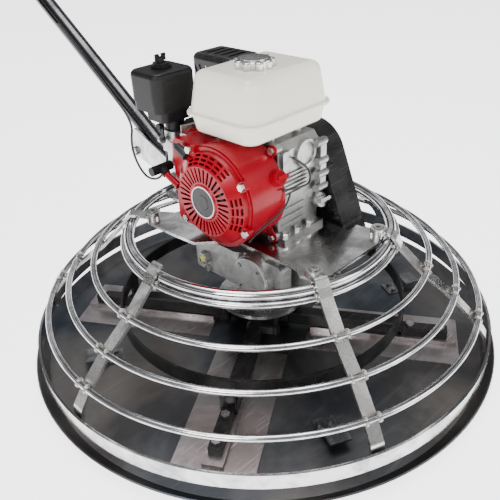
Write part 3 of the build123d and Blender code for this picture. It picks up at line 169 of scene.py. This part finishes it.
def marked_finish(name, colour, patches, metal, smooth, rough, blotch=6.0, grain=300.0, scratch=20.0,
                  scratch_colour=None, scratch_strength=0.0, bump=0.1, depth=0.0004, coat=0.0, shine=0.5):
    """A finish that drifts between two colours, with fine grain in its gloss and relief, and scratches."""
    finish = bpy.data.materials.new(name)
    finish.use_nodes = True
    tree = finish.node_tree
    shader = tree.nodes["Principled BSDF"]
    shader.inputs["Metallic"].default_value = metal
    shader.inputs["Coat Weight"].default_value = coat
    shader.inputs["Specular IOR Level"].default_value = shine
    shader.inputs["Coat Roughness"].default_value = 0.08
    place = tree.nodes.new("ShaderNodeTexCoord")
    pattern = tree.nodes.new("ShaderNodeGroup")
    pattern.node_tree = marks
    pattern.name = "marks"
    pattern.inputs["Blotch Scale"].default_value = blotch
    pattern.inputs["Grain Scale"].default_value = grain
    pattern.inputs["Scratch Scale"].default_value = scratch
    link_value(tree, place.outputs["Object"], pattern.inputs["Vector"])
    drift = tree.nodes.new("ShaderNodeMapRange")
    drift.inputs["From Min"].default_value = 0.42
    drift.inputs["From Max"].default_value = 0.62
    link_value(tree, pattern.outputs["Blotch"], drift.inputs["Value"])
    body_colour = tree.nodes.new("ShaderNodeMix")
    body_colour.name = "body_colour"
    body_colour.data_type = "RGBA"
    body_colour.inputs["A"].default_value = (*colour, 1.0)
    body_colour.inputs["B"].default_value = (*patches, 1.0)
    link_value(tree, drift.outputs["Result"], body_colour.inputs["Factor"])
    worn = tree.nodes.new("ShaderNodeMix")
    worn.name = "worn_colour"
    worn.data_type = "RGBA"
    worn.inputs["B"].default_value = (*(scratch_colour or patches), 1.0)
    weaken = tree.nodes.new("ShaderNodeMath")
    weaken.operation = "MULTIPLY"
    weaken.inputs[1].default_value = scratch_strength
    link_value(tree, pattern.outputs["Scratch"], weaken.inputs[0])
    link_value(tree, weaken.outputs["Value"], worn.inputs["Factor"])
    link_value(tree, body_colour.outputs["Result"], worn.inputs["A"])
    link_value(tree, worn.outputs["Result"], shader.inputs["Base Color"])
    gloss = tree.nodes.new("ShaderNodeMapRange")
    gloss.inputs["From Min"].default_value = 0.3
    gloss.inputs["From Max"].default_value = 0.7
    gloss.inputs["To Min"].default_value = smooth
    gloss.inputs["To Max"].default_value = rough
    link_value(tree, pattern.outputs["Blotch"], gloss.inputs["Value"])
    link_value(tree, gloss.outputs["Result"], shader.inputs["Roughness"])
    relief = tree.nodes.new("ShaderNodeBump")
    relief.inputs["Strength"].default_value = bump
    relief.inputs["Distance"].default_value = depth
    link_value(tree, pattern.outputs["Grain"], relief.inputs["Height"])
    link_value(tree, relief.outputs["Normal"], shader.inputs["Normal"])
    return finish


def dress(finish, *names):
    """Gives CAD nodes a finish in every material slot."""
    for name in names:
        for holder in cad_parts[name].material_slots:
            holder.material = finish


pan_steel = marked_finish(
    "pan_steel", (0.085, 0.086, 0.092), (0.165, 0.16, 0.158), 1.0, 0.40, 0.58, blotch=4.5,
    grain=420.0, scratch=5.0, scratch_colour=(0.26, 0.255, 0.25), scratch_strength=0.16, bump=0.10)
pan_tree = pan_steel.node_tree
pan_place = pan_tree.nodes.new("ShaderNodeTexCoord")
swirl = pan_tree.nodes.new("ShaderNodeTexWave")
swirl.wave_type = "RINGS"
swirl.rings_direction = "Z"
swirl.inputs["Scale"].default_value = 58.0
swirl.inputs["Distortion"].default_value = 2.2
swirl.inputs["Detail"].default_value = 4.0
swirl.inputs["Detail Scale"].default_value = 0.6
link_value(pan_tree, pan_place.outputs["Object"], swirl.inputs["Vector"])
tint = pan_tree.nodes.new("ShaderNodeTexNoise")
tint.inputs["Scale"].default_value = 2.1
tint.inputs["Detail"].default_value = 3.0
tint.inputs["Distortion"].default_value = 1.2
link_value(pan_tree, pan_place.outputs["Object"], tint.inputs["Vector"])
tint_ramp = pan_tree.nodes.new("ShaderNodeValToRGB")
tint_ramp.color_ramp.elements[0].position = 0.36
tint_ramp.color_ramp.elements[0].color = (0.74, 0.86, 1.0, 1.0)
tint_ramp.color_ramp.elements[1].position = 0.70
tint_ramp.color_ramp.elements[1].color = (1.0, 0.92, 0.84, 1.0)
neutral = tint_ramp.color_ramp.elements.new(0.52)
neutral.color = (1.0, 1.0, 1.0, 1.0)
link_value(pan_tree, tint.outputs["Fac"], tint_ramp.inputs["Fac"])
tinted = pan_tree.nodes.new("ShaderNodeMix")
tinted.data_type = "RGBA"
tinted.blend_type = "MULTIPLY"
tinted.inputs["Factor"].default_value = 1.0
link_value(pan_tree, pan_tree.nodes["worn_colour"].outputs["Result"], tinted.inputs["A"])
link_value(pan_tree, tint_ramp.outputs["Color"], tinted.inputs["B"])
link_value(pan_tree, tinted.outputs["Result"], pan_tree.nodes["Principled BSDF"].inputs["Base Color"])
brushing = pan_tree.nodes.new("ShaderNodeBump")
brushing.inputs["Strength"].default_value = 0.06
brushing.inputs["Distance"].default_value = 0.0006
link_value(pan_tree, swirl.outputs["Fac"], brushing.inputs["Height"])
link_value(pan_tree, pan_tree.nodes["Bump"].outputs["Normal"], brushing.inputs["Normal"])
link_value(pan_tree, brushing.outputs["Normal"], pan_tree.nodes["Principled BSDF"].inputs["Normal"])
dress(pan_steel, "pan")

zinc = marked_finish(
    "bright_zinc", (0.62, 0.62, 0.61), (0.44, 0.44, 0.43), 1.0, 0.16, 0.38, blotch=38.0,
    grain=700.0, scratch=60.0, scratch_colour=(0.85, 0.85, 0.85), scratch_strength=0.5, bump=0.12)
dark_steel = marked_finish(
    "dark_steel", (0.14, 0.145, 0.155), (0.26, 0.26, 0.265), 1.0, 0.26, 0.46, blotch=32.0,
    grain=600.0, scratch=30.0, scratch_colour=(0.5, 0.5, 0.5), scratch_strength=0.3, bump=0.12)
dress(dark_steel, "pan_clips")
dress(
    zinc, "output_shaft", "pressure_plate", "gearbox_bearings", "worm_shaft", "clutch_drum",
    "crankshaft", "clutch_hub", "muffler", "throttle_lever", "fasteners")

# ---------------------------------------------------------------- blades, arms, hub and stabiliser ring
# Each blade is a strip of bare spring steel, worn bright, carried under a square arm painted black.
# The arms turn in a cast hub, and the flat stabiliser ring ties their outer ends together.
blade_steel = marked_finish(
    "blade_steel", (0.50, 0.47, 0.47), (0.30, 0.26, 0.26), 1.0, 0.24, 0.5, blotch=11.0, grain=500.0,
    scratch=16.0, scratch_colour=(0.78, 0.76, 0.75), scratch_strength=0.6, bump=0.1)
dress(blade_steel, "blade_1", "blade_2", "blade_3", "blade_4")
machine_black = marked_finish(
    "machine_black", (0.006, 0.006, 0.0065), (0.016, 0.016, 0.0165), 0.0, 0.26, 0.48, blotch=24.0,
    grain=260.0, scratch=30.0, scratch_colour=(0.17, 0.16, 0.15), scratch_strength=0.35, bump=0.25,
    coat=0.08, shine=0.3)
dress(
    machine_black, "trowel_arm_1", "trowel_arm_2", "trowel_arm_3", "trowel_arm_4", "spider_hub",
    "stabiliser_ring", "yoke", "gearbox_pulley", "muffler_shield", "pitch_wheel")
bronze = marked_finish(
    "bronze", (0.55, 0.36, 0.15), (0.42, 0.27, 0.12), 1.0, 0.25, 0.4, blotch=40.0, grain=500.0,
    scratch=50.0, scratch_colour=(0.75, 0.55, 0.3), scratch_strength=0.3)
dress(bronze, "worm_wheel")

# ---------------------------------------------------------------- ring guard
# Steel tubes and rods bent to rings and welded to six flat straps, then plated all over. The
# plating is bright on the tubes and dull and brown round the welds.
guard_plating = marked_finish(
    "guard_plating", (0.66, 0.66, 0.67), (0.34, 0.34, 0.35), 1.0, 0.06, 0.24, blotch=17.0,
    grain=520.0, scratch=34.0, scratch_colour=(0.3, 0.29, 0.28), scratch_strength=0.35, bump=0.06)
strap_plating = marked_finish(
    "strap_plating", (0.70, 0.70, 0.69), (0.40, 0.39, 0.37), 1.0, 0.16, 0.40, blotch=22.0,
    grain=420.0, scratch=26.0, scratch_colour=(0.35, 0.32, 0.29), scratch_strength=0.4, bump=0.14)
dress(guard_plating, "guard_top_rings", "guard_rings", "handle_bracket")
dress(strap_plating, "guard_straps")
weld_finish = marked_finish(
    "weld_metal", (0.34, 0.31, 0.28), (0.62, 0.60, 0.57), 1.0, 0.3, 0.55, blotch=120.0, grain=900.0,
    bump=0.4)
strap_azimuths = [atan2(y, x) for x, y in ((-97, -225), (97, -225), (-143, 168), (143, 168), (1, 0), (-1, 0))]
strap_half = 0.0125
ring_seats = ((0.279, 0.2515, 0.0065), (0.345, 0.215, 0.006), (0.402, 0.172, 0.006), (0.451, 0.124, 0.006))
bpy.ops.mesh.primitive_uv_sphere_add(segments=12, ring_count=8, radius=0.0052)
bead = bpy.context.object
bpy.ops.object.mode_set(mode="EDIT")
bpy.ops.mesh.select_all(action="SELECT")
bpy.ops.transform.resize(value=(1.0, 0.75, 1.5))
bpy.ops.transform.vertex_random(offset=0.0006, seed=3)
bpy.ops.object.mode_set(mode="OBJECT")
bead.data.materials.append(weld_finish)
beads = []
for azimuth in strap_azimuths:
    outwards = Vector((cos(azimuth), sin(azimuth), 0.0))
    sideways = Vector((-sin(azimuth), cos(azimuth), 0.0))
    for seat_radius, seat_height, rod_radius in ring_seats:
        for side in (-1, 1):
            for lift in (-1, 1):
                copy = bpy.data.objects.new("bead", bead.data.copy())
                bpy.context.scene.collection.objects.link(copy)
                spot = seat_radius * outwards + side * strap_half * sideways
                across_rod = 0.6 * outwards - Vector((0.0, 0.0, 0.8))
                spot += Vector((0.0, 0.0, seat_height)) + lift * rod_radius * 0.75 * across_rod
                spin = Matrix.Rotation(azimuth, 4, "Z") @ Matrix.Rotation(radians(40), 4, "Y")
                copy.data.transform(Matrix.Translation(spot) @ spin)
                beads.append(copy)
bpy.data.objects.remove(bead)
bpy.ops.object.select_all(action="DESELECT")
for copy in beads:
    copy.select_set(True)
bpy.context.view_layer.objects.active = beads[0]
bpy.ops.object.join()
weld_beads = bpy.context.object
weld_beads.name = "weld_beads"
bpy.ops.object.shade_smooth()
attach(weld_beads, "frame")
bpy.ops.object.select_all(action="DESELECT")

# ---------------------------------------------------------------- deck plate
# A bright rolled plate, cut to shape, that carries the engine above and the gearbox below. Its
# plating is cloudy and takes soft reflections.
deck_plating = marked_finish(
    "deck_plating", (0.66, 0.655, 0.64), (0.33, 0.325, 0.315), 1.0, 0.10, 0.34, blotch=13.0,
    grain=360.0, scratch=18.0, scratch_colour=(0.28, 0.26, 0.24), scratch_strength=0.35, bump=0.05)
dress(deck_plating, "deck_plate")

# ---------------------------------------------------------------- worm gearbox
# The housing, bottom cover and bearing cap are sand-cast alloy with a fine pebbled skin; the oil
# sight glass is a small glossy window, yellow drifting to red.
cast_alloy = marked_finish(
    "cast_alloy", (0.40, 0.40, 0.395), (0.25, 0.25, 0.247), 1.0, 0.34, 0.52, blotch=30.0,
    grain=850.0, scratch=40.0, scratch_colour=(0.68, 0.68, 0.67), scratch_strength=0.3, bump=0.5)
dress(cast_alloy, "gearbox_housing", "gearbox_cover", "bearing_cap", "flywheel")
oil_glass = marked_finish(
    "oil_glass", (0.62, 0.60, 0.06), (0.50, 0.12, 0.05), 0.0, 0.06, 0.12, blotch=70.0, grain=200.0,
    coat=1.0, bump=0.0)
dress(oil_glass, "sight_glass")

# ---------------------------------------------------------------- belt drive and its guard
# A rubber V-belt runs inside a folded sheet guard, which is pressed, welded and sprayed black.
rubber = marked_finish(
    "rubber", (0.007, 0.007, 0.007), (0.014, 0.0135, 0.013), 0.0, 0.5, 0.75, blotch=30.0,
    grain=600.0, bump=0.3, shine=0.2)
dress(rubber, "drive_belt", "spark_plug", "handle_grips")
guard_black = marked_finish(
    "guard_black", (0.005, 0.005, 0.0055), (0.012, 0.012, 0.0125), 0.0, 0.2, 0.36, blotch=14.0,
    grain=420.0, scratch=22.0, scratch_colour=(0.12, 0.12, 0.12), scratch_strength=0.3, bump=0.12,
    coat=0.12, shine=0.3)
dress(guard_black, "belt_guard")

# ---------------------------------------------------------------- engine castings
# Crankcase, side cover, cylinder and head are die-cast alloy, lighter and smoother than the gearbox.
die_cast = marked_finish(
    "die_cast", (0.46, 0.46, 0.455), (0.31, 0.31, 0.305), 1.0, 0.30, 0.44, blotch=26.0,
    grain=1000.0, scratch=46.0, scratch_colour=(0.72, 0.72, 0.71), scratch_strength=0.2, bump=0.35)
dress(die_cast, "crankcase", "side_cover", "cylinder_head", "rocker_cover", "carburetor")

# ---------------------------------------------------------------- fan cover and recoil starter
# Two deep-drawn steel shells sprayed glossy red, bolted one over the other. The round badge in the
# middle of the starter is a plain dark disc in a bright ring.
red_paint = marked_finish(
    "red_paint", (0.33, 0.0, 0.011), (0.27, 0.0, 0.008), 0.0, 0.20, 0.30, blotch=7.0, grain=240.0,
    scratch=30.0, scratch_colour=(0.50, 0.01, 0.01), scratch_strength=0.12, bump=0.05, coat=0.08,
    shine=0.22)
dress(red_paint, "fan_cover", "recoil_housing", "engine_switch")
crank_y = -0.029
crank_z = 0.381
badge_x = -0.1691
badge_finish = marked_finish(
    "badge_finish", (0.015, 0.015, 0.017), (0.03, 0.03, 0.034), 0.0, 0.18, 0.3, blotch=60.0,
    grain=500.0, coat=0.05, shine=0.2)
bpy.ops.mesh.primitive_cylinder_add(
    vertices=96, radius=0.0300, depth=0.0016, location=(badge_x, crank_y, crank_z),
    rotation=(0.0, pi / 2, 0.0))
badge = bpy.context.object
badge.name = "starter_badge"
bpy.ops.object.transform_apply(location=True, rotation=True, scale=True)
bpy.ops.object.mode_set(mode="EDIT")
bpy.ops.mesh.select_all(action="DESELECT")
bpy.ops.object.mode_set(mode="OBJECT")
for face in badge.data.polygons:
    face.select = face.normal.x < -0.9
bpy.ops.object.mode_set(mode="EDIT")
bpy.ops.mesh.select_mode(type="FACE")
bpy.ops.mesh.inset(thickness=0.0020, depth=0.0)
bpy.ops.mesh.inset(thickness=0.0010, depth=-0.0008)
bpy.ops.mesh.inset(thickness=0.0130, depth=0.0)
bpy.ops.mesh.inset(thickness=0.0008, depth=0.0006)
bpy.ops.mesh.select_all(action="SELECT")
bpy.ops.mesh.normals_make_consistent(inside=False)
bpy.ops.object.mode_set(mode="OBJECT")
badge.data.materials.append(badge_finish)
badge.data.materials.append(zinc)
for face in badge.data.polygons:
    reach = (Vector(face.center) - Vector((badge_x, crank_y, crank_z)))
    face.material_index = 1 if (reach.y ** 2 + reach.z ** 2) ** 0.5 > 0.0278 else 0
bpy.ops.object.shade_smooth_by_angle(angle=radians(35))
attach(badge, "frame")
bpy.ops.object.select_all(action="DESELECT")

# ---------------------------------------------------------------- starter rope and its guide sleeve
# A black tapered sleeve and a matt, finely rough rope, parallel to the starter shell's guide tube.
# They lie on the other side of the crank's axis from that tube, so the rope stops short of the grip.
rope_direction = Vector((0.0, 0.906, 0.423))
rope_offset = Vector((0.0, -0.423, 0.906)) * 0.038
crank_point = Vector((-0.151, crank_y, crank_z))
rope_inner_end = 0.070
rope_outer_end = 0.1162
sleeve_middle = 0.094
rope_start = crank_point + rope_offset + rope_inner_end * rope_direction
rope_end = crank_point + rope_offset + rope_outer_end * rope_direction
rope_turn = rope_direction.to_track_quat("Z", "Y").to_matrix().to_4x4()
rope_weave = marked_finish(
    "rope_weave", (0.012, 0.012, 0.012), (0.03, 0.03, 0.03), 0.0, 0.6, 0.8, blotch=400.0,
    grain=900.0, bump=0.5, shine=0.2)
bpy.ops.mesh.primitive_cylinder_add(vertices=16, radius=0.0018, depth=1.0)
rope = bpy.context.object
rope.name = "starter_rope"
bpy.ops.object.mode_set(mode="EDIT")
bpy.ops.mesh.select_all(action="SELECT")
bpy.ops.transform.resize(value=(1.0, 1.0, (rope_end - rope_start).length))
bpy.ops.mesh.subdivide(number_cuts=12)
bpy.ops.object.mode_set(mode="OBJECT")
rope.data.transform(Matrix.Translation((rope_start + rope_end) / 2) @ rope_turn)
rope.data.materials.append(rope_weave)
bpy.ops.object.shade_smooth_by_angle(angle=radians(50))
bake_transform(rope)
bpy.ops.object.select_all(action="DESELECT")
sleeve_plastic = marked_finish(
    "sleeve_plastic", (0.006, 0.006, 0.0065), (0.011, 0.011, 0.0115), 0.0, 0.34, 0.5, blotch=18.0,
    grain=900.0, bump=0.3)
bpy.ops.mesh.primitive_cone_add(vertices=48, radius1=0.0088, radius2=0.0072, depth=0.030)
sleeve = bpy.context.object
sleeve.name = "rope_sleeve"
bpy.ops.object.mode_set(mode="EDIT")
bpy.ops.mesh.select_all(action="SELECT")
bpy.ops.mesh.bevel(offset=0.0009, segments=2, affect="EDGES")
bpy.ops.object.mode_set(mode="OBJECT")
sleeve_place = crank_point + rope_offset + sleeve_middle * rope_direction
sleeve.data.transform(Matrix.Translation(sleeve_place) @ rope_turn)
sleeve.data.materials.append(sleeve_plastic)
bpy.ops.object.shade_smooth_by_angle(angle=radians(40))
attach(sleeve, "frame")
bpy.ops.object.select_all(action="DESELECT")

# ---------------------------------------------------------------- carburetor linkage
# Between the air cleaner and the tank run a governor rod and a choke rod. Beside them stand a flat
# zinc bracket and a plain white tag.
bpy.ops.mesh.primitive_cube_add(size=1.0)
bracket = bpy.context.object
bracket.name = "linkage_bracket"
bpy.ops.object.mode_set(mode="EDIT")
bpy.ops.mesh.select_all(action="SELECT")
bpy.ops.transform.resize(value=(0.040, 0.0018, 0.026))
bpy.ops.mesh.bevel(offset=0.0005, segments=2, affect="EDGES")
bpy.ops.object.mode_set(mode="OBJECT")
bracket.data.transform(Matrix.Translation((-0.098, 0.074, 0.473)) @ Matrix.Rotation(radians(-14), 4, "Z"))
bracket.data.materials.append(zinc)
bpy.ops.object.shade_smooth_by_angle(angle=radians(35))
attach(bracket, "frame")
bpy.ops.object.select_all(action="DESELECT")
bpy.ops.mesh.primitive_cube_add(size=1.0)
tag = bpy.context.object
tag.name = "fuel_tap_tag"
tag_finish = marked_finish(
    "tag_white", (0.80, 0.80, 0.78), (0.72, 0.72, 0.70), 0.0, 0.35, 0.5, blotch=60.0, grain=500.0,
    bump=0.1)
bpy.ops.object.mode_set(mode="EDIT")
bpy.ops.mesh.select_all(action="SELECT")
bpy.ops.transform.resize(value=(0.0012, 0.013, 0.020))
bpy.ops.mesh.bevel(offset=0.0004, segments=2, affect="EDGES")
bpy.ops.object.mode_set(mode="OBJECT")
tag.data.transform(Matrix.Translation((-0.120, 0.070, 0.462)) @ Matrix.Rotation(radians(18), 4, "Z"))
tag.data.materials.append(tag_finish)
bpy.ops.object.shade_smooth_by_angle(angle=radians(35))
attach(tag, "frame")
bpy.ops.object.select_all(action="DESELECT")
for rod_name, rod_places, rod_radius in (
        ("governor_rod", ((-0.100, 0.120, 0.462), (-0.104, 0.090, 0.459), (-0.104, 0.062, 0.456),
                          (-0.102, 0.052, 0.450)), 0.0014),
        ("choke_rod", ((-0.120, 0.118, 0.448), (-0.126, 0.090, 0.446), (-0.128, 0.066, 0.452),
                       (-0.120, 0.058, 0.458)), 0.0012)):
    rod_curve = bpy.data.curves.new(rod_name, "CURVE")
    rod_curve.dimensions = "3D"
    rod_line = rod_curve.splines.new("NURBS")
    rod_line.points.add(len(rod_places) - 1)
    for point, place in zip(rod_line.points, rod_places):
        point.co = (*place, 1.0)
    rod_line.order_u = 3
    rod_line.use_endpoint_u = True
    rod_curve.bevel_depth = rod_radius
    rod_curve.bevel_resolution = 3
    rod_curve.use_fill_caps = True
    rod = bpy.data.objects.new(rod_name, rod_curve)
    bpy.context.scene.collection.objects.link(rod)
    rod_curve.materials.append(zinc)
    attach(rod, "frame")

# ---------------------------------------------------------------- fuel tank and cap
# The tank is two pressings seamed round the middle, with a thick cream-white gloss coat. The cap is
# cast alloy with a scalloped rim.
cream_paint = marked_finish(
    "cream_paint", (0.90, 0.87, 0.76), (0.87, 0.84, 0.725), 0.0, 0.18, 0.28, blotch=5.0,
    grain=160.0, scratch=12.0, scratch_colour=(0.92, 0.90, 0.84), scratch_strength=0.1, bump=0.05,
    coat=0.35, shine=0.35)
dress(cream_paint, "fuel_tank")
cap_alloy = marked_finish(
    "cap_alloy", (0.72, 0.71, 0.70), (0.60, 0.59, 0.58), 1.0, 0.20, 0.30, blotch=22.0, grain=600.0,
    scratch=50.0, scratch_colour=(0.85, 0.84, 0.82), scratch_strength=0.15, bump=0.04)
dress(cap_alloy, "fuel_cap", "oil_cap")

# ---------------------------------------------------------------- air cleaner, grip and small black parts
# Moulded black plastic with a fine satin texture.
black_plastic = marked_finish(
    "black_plastic", (0.006, 0.006, 0.0065), (0.011, 0.011, 0.0115), 0.0, 0.34, 0.5, blotch=18.0,
    grain=900.0, scratch=40.0, scratch_colour=(0.07, 0.07, 0.07), scratch_strength=0.25, bump=0.35,
    shine=0.22)
dress(
    black_plastic, "air_cleaner_cover", "air_cleaner_base", "starter_grip", "starter_reel",
    "choke_lever")

# ---------------------------------------------------------------- handle
# A steel tube with dark bright plating, carried on a pin between two plated cheeks.
handle_plating = marked_finish(
    "handle_plating", (0.10, 0.10, 0.105), (0.055, 0.055, 0.06), 1.0, 0.12, 0.28, blotch=12.0,
    grain=500.0, scratch=20.0, scratch_colour=(0.4, 0.4, 0.4), scratch_strength=0.3, bump=0.06)
dress(handle_plating, "handle_tube")

# ---------------------------------------------------------------- wires and throttle cable
# Rubber-skinned wires from the engine switch, and the throttle cable that comes down beside the
# handle and loops round to the carburetor. Each is one smooth run.
wire_skin = marked_finish(
    "wire_skin", (0.010, 0.010, 0.011), (0.020, 0.020, 0.021), 0.0, 0.32, 0.5, blotch=60.0,
    grain=900.0, bump=0.2)


def cable_run(name, route, radius, finish):
    """A round cable that follows a smooth run through its route's points."""
    line = bpy.data.curves.new(name, "CURVE")
    line.dimensions = "3D"
    run = line.splines.new("NURBS")
    run.points.add(len(route) - 1)
    for point, place in zip(run.points, route):
        point.co = (*place, 1.0)
    run.order_u = 3
    run.use_endpoint_u = True
    run.resolution_u = 12
    line.bevel_depth = radius
    line.bevel_resolution = 5
    line.use_fill_caps = True
    cable = bpy.data.objects.new(name, line)
    bpy.context.scene.collection.objects.link(cable)
    line.materials.append(finish)
    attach(cable, "frame")
    return cable


switch_lead = cable_run("switch_lead", (
    (-0.070, -0.131, 0.399), (-0.050, -0.132, 0.395), (-0.014, -0.125, 0.384), (0.022, -0.116, 0.376),
    (0.027, -0.114, 0.394), (0.008, -0.117, 0.418), (-0.024, -0.115, 0.442)), 0.0022, wire_skin)
ground_lead = cable_run("ground_lead", (
    (-0.054, -0.134, 0.390), (-0.058, -0.134, 0.376), (-0.074, -0.131, 0.360), (-0.096, -0.128, 0.350),
    (-0.128, -0.119, 0.334), (-0.146, -0.117, 0.322)), 0.0018, wire_skin)
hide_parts("switch_wire")
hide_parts("switch_wire")
throttle_line = cable_run("throttle_line", (
    (-0.031, 0.620, 0.596), (-0.033, 0.460, 0.486), (-0.040, 0.350, 0.414), (-0.084, 0.301, 0.392),
    (-0.097, 0.276, 0.366), (-0.106, 0.244, 0.346), (-0.114, 0.208, 0.340), (-0.114, 0.172, 0.350),
    (-0.110, 0.154, 0.372), (-0.104, 0.147, 0.400), (-0.104, 0.1445, 0.440)), 0.0026, wire_skin)
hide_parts("throttle_cable")
